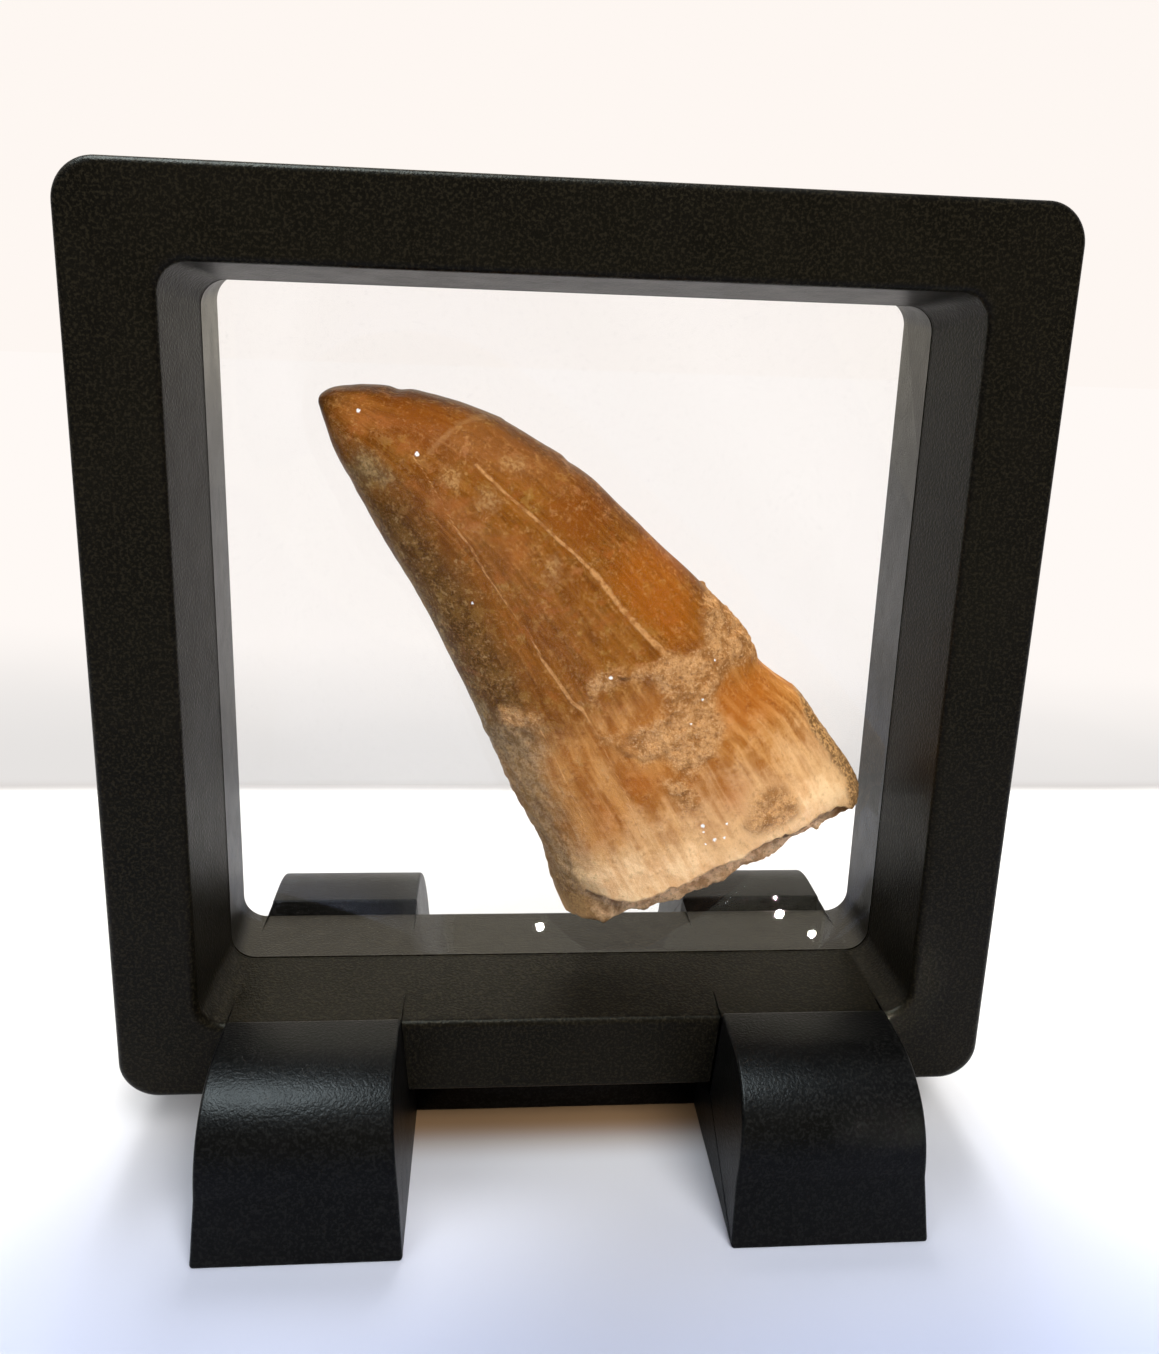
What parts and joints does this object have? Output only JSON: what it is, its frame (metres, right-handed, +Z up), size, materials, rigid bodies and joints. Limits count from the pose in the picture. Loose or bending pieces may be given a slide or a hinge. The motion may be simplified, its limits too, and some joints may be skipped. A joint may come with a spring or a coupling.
{
  "type": "fossil mosasaur tooth",
  "caption": "Curved fossil mosasaur tooth with broken root, held between clear stretched films in a square black frame that stands in a slotted stand.",
  "frame": {"origin": "on the ground under the middle of the stand and frame", "axes": "+Z up, +X to the right of the frame seen from the front, -Y out of the front"},
  "size_m": [0.09, 0.0556, 0.096],
  "materials": {
    "fossil": "polished amber-brown enamel over a cream and orange fibrous root",
    "film": "clear stretched film",
    "frame_plastic": "fine satin texture",
    "stand_plastic": "fine satin texture"
  },
  "bodies": {
    "root": {"tooth": "fossil", "film_front": "film", "film_rear": "film", "frame_front": "frame_plastic", "frame_rear": "frame_plastic", "stand": "stand_plastic"}
  },
  "joints": []
}
